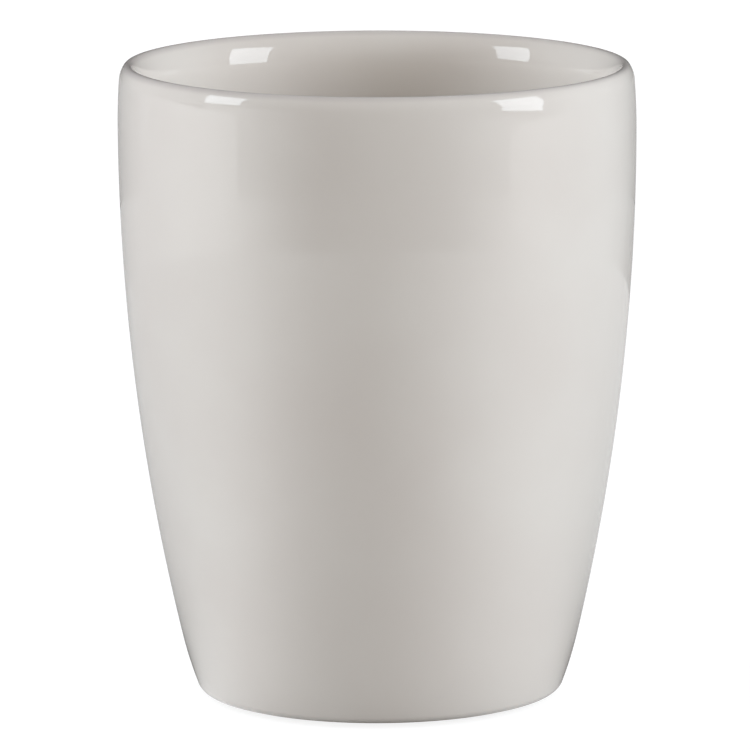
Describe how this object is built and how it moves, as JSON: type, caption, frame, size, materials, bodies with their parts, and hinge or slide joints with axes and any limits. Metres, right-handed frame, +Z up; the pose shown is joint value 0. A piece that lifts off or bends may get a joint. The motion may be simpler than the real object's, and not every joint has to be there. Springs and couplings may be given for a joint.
{
  "type": "bathroom tumbler",
  "caption": "Handleless glazed ceramic tumbler with bellied sides drawn in at the mouth and tucked in to a small foot, standing on soft pads; holds brushes or water.",
  "frame": {"origin": "centre of the circle of pads, on the plane that the tumbler stands on", "axes": "+Z up along the axis of the turned body; +X and +Y between the pads"},
  "size_m": [0.082, 0.082, 0.1012],
  "materials": {
    "glazed_ceramic": "clear gloss glaze over pale warm grey body",
    "soft_pad": "cloudy clear moulded silicone"
  },
  "bodies": {
    "root": {"tumbler_body": "glazed_ceramic", "foot_pad_1": "soft_pad", "foot_pad_2": "soft_pad", "foot_pad_3": "soft_pad", "foot_pad_4": "soft_pad"}
  },
  "joints": []
}
